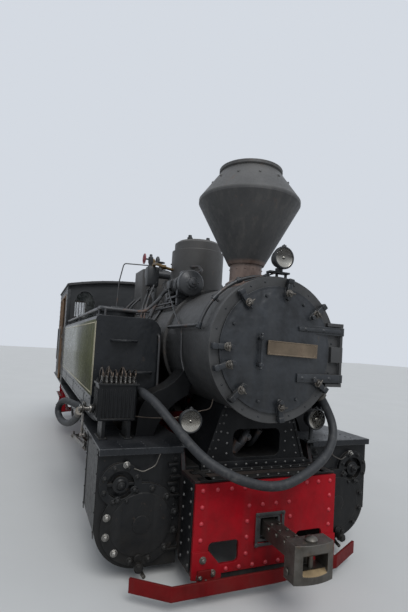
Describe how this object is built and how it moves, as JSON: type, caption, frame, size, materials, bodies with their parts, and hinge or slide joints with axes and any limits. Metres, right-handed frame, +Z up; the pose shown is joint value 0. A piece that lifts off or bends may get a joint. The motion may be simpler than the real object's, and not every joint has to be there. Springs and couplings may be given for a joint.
{
  "type": "narrow-gauge side-tank steam locomotive",
  "caption": "Side-tank steam locomotive for narrow gauge with outside frames, coupled wheels, flared chimney, cab and opening smokebox door.",
  "frame": {"origin": "on the ground plane under the wheel flanges, at the middle of the length over couplers and of the width", "axes": "+X forward towards the chimney, +Y to the locomotive's left, +Z up; the rail's top is 25 mm above the origin"},
  "size_m": [7.4, 2.374, 2.963],
  "materials": {
    "black_paint": "satin black oil paint, dusty",
    "red_paint": "semi-gloss deep red paint",
    "motion_steel": "oiled machined steel",
    "worn_steel": "worn grey steel with rust",
    "hose_rubber": "matt dark grey rubber",
    "lamp_enamel": "black enamel with bright rims",
    "chimney_paint": "heat-worn black paint over brown stub",
    "roof_paint": "sooty matt black",
    "plate_paint": "worn dark grey paint"
  },
  "bodies": {
    "root": {"ashpan": "black_paint", "blast_pipe": "black_paint", "boiler": "black_paint", "brake_gear": "black_paint", "buffer_beam_front": "red_paint", "buffer_beam_rear": "red_paint", "bunker": "black_paint", "cab_back": "black_paint", "cab_floor": "plate_paint", "cab_front": "black_paint", "cab_roof": "roof_paint", "cab_side_left": "black_paint", "cab_side_right": "black_paint", "cab_steps": "red_paint", "chimney": "chimney_paint", "coupler_front": "worn_steel", "coupler_rear": "worn_steel", "cylinder_left": "black_paint", "cylinder_right": "black_paint", "frame_plate_left": "red_paint", "frame_plate_right": "red_paint", "frame_stretchers": "red_paint", "generator": "black_paint", "guard_bar_front": "red_paint", "guard_bar_rear": "red_paint", "guide_bars": "motion_steel", "handrails": "worn_steel", "headlamps": "lamp_enamel", "hose_coupling": "worn_steel", "hose_union": "worn_steel", "lubricator": "black_paint", "running_plates": "plate_paint", "sand_box": "black_paint", "side_tank_left": "black_paint", "side_tank_right": "black_paint", "smokebox": "black_paint", "smokebox_saddle": "black_paint", "springs": "black_paint", "steam_dome": "black_paint", "steam_pipe_cases": "black_paint", "suction_hose": "hose_rubber", "tank_bearers": "plate_paint", "turret": "black_paint", "valve_gear_left": "motion_steel", "valve_gear_right": "motion_steel"},
    "axle_1": {"wheelset_1": "red_paint"},
    "axle_2": {"wheelset_2": "red_paint"},
    "axle_3": {"wheelset_3": "red_paint"},
    "axle_4": {"wheelset_4": "red_paint"},
    "coupling_rod_right": {"coupling_rod_right": "motion_steel"},
    "crosshead_right": {"crosshead_right": "motion_steel"},
    "connecting_rod_right": {"connecting_rod_right": "motion_steel"},
    "tank_lid_right": {"tank_lid_right": "black_paint"},
    "coupling_rod_left": {"coupling_rod_left": "motion_steel"},
    "crosshead_left": {"crosshead_left": "motion_steel"},
    "connecting_rod_left": {"connecting_rod_left": "motion_steel"},
    "tank_lid_left": {"tank_lid_left": "black_paint"},
    "smokebox_door": {"smokebox_door": "black_paint"},
    "fire_door": {"fire_door": "black_paint"}
  },
  "joints": [
    {"name": "axle_3_spin", "type": "hinge", "parent": "root", "child": "axle_3", "pos_m": [-0.1, 0, 0.375], "axis": [0, 1, 0], "continuous": true},
    {"name": "axle_1_spin", "type": "hinge", "parent": "root", "child": "axle_1", "pos_m": [1.7, 0, 0.375], "axis": [0, 1, 0], "continuous": true},
    {"name": "axle_2_spin", "type": "hinge", "parent": "root", "child": "axle_2", "pos_m": [0.8, 0, 0.375], "axis": [0, 1, 0], "continuous": true},
    {"name": "axle_4_spin", "type": "hinge", "parent": "root", "child": "axle_4", "pos_m": [-1, 0, 0.375], "axis": [0, 1, 0], "continuous": true},
    {"name": "coupling_rod_right_turn", "type": "hinge", "parent": "axle_3", "child": "coupling_rod_right", "pos_m": [0.1, -0.64, 0.375], "axis": [0, 1, 0], "continuous": true},
    {"name": "crosshead_right_slide", "type": "slide", "parent": "root", "child": "crosshead_right", "axis": [1, 0, 0], "range_m": [-0.4, 0]},
    {"name": "connecting_rod_right_swing", "type": "hinge", "parent": "crosshead_right", "child": "connecting_rod_right", "pos_m": [2.05, -0.79, 0.375], "axis": [0, 1, 0], "range_deg": [-5.89, 5.89]},
    {"name": "coupling_rod_left_turn", "type": "hinge", "parent": "axle_3", "child": "coupling_rod_left", "pos_m": [-0.1, 0.64, 0.175], "axis": [0, 1, 0], "continuous": true},
    {"name": "crosshead_left_slide", "type": "slide", "parent": "root", "child": "crosshead_left", "axis": [1, 0, 0], "range_m": [-0.1897, 0.2103]},
    {"name": "connecting_rod_left_swing", "type": "hinge", "parent": "crosshead_left", "child": "connecting_rod_left", "pos_m": [1.83972, 0.79, 0.375], "axis": [0, 1, 0], "range_deg": [0, 11.77]},
    {"name": "tank_lid_right_lift", "type": "hinge", "parent": "root", "child": "tank_lid_right", "pos_m": [1.606, -0.84, 1.809], "axis": [0, -1, 0], "range_deg": [0, 100]},
    {"name": "tank_lid_left_lift", "type": "hinge", "parent": "root", "child": "tank_lid_left", "pos_m": [1.606, 0.84, 1.809], "axis": [0, -1, 0], "range_deg": [0, 100]},
    {"name": "fire_door_swing", "type": "hinge", "parent": "root", "child": "fire_door", "pos_m": [-1.124, 0.216, 1.257], "axis": [0, 0, -1], "range_deg": [0, 100]},
    {"name": "smokebox_door_swing", "type": "hinge", "parent": "root", "child": "smokebox_door", "pos_m": [3.203, 0.525, 1.554], "axis": [0, 0, 1], "range_deg": [0, 110]}
  ],
  "couplings": [
    {"joint": "axle_1_spin", "follows": "axle_3_spin", "ratio": 1},
    {"joint": "axle_2_spin", "follows": "axle_3_spin", "ratio": 1},
    {"joint": "axle_4_spin", "follows": "axle_3_spin", "ratio": 1},
    {"joint": "coupling_rod_right_turn", "follows": "axle_3_spin", "ratio": -1},
    {"joint": "coupling_rod_left_turn", "follows": "axle_3_spin", "ratio": -1}
  ]
}
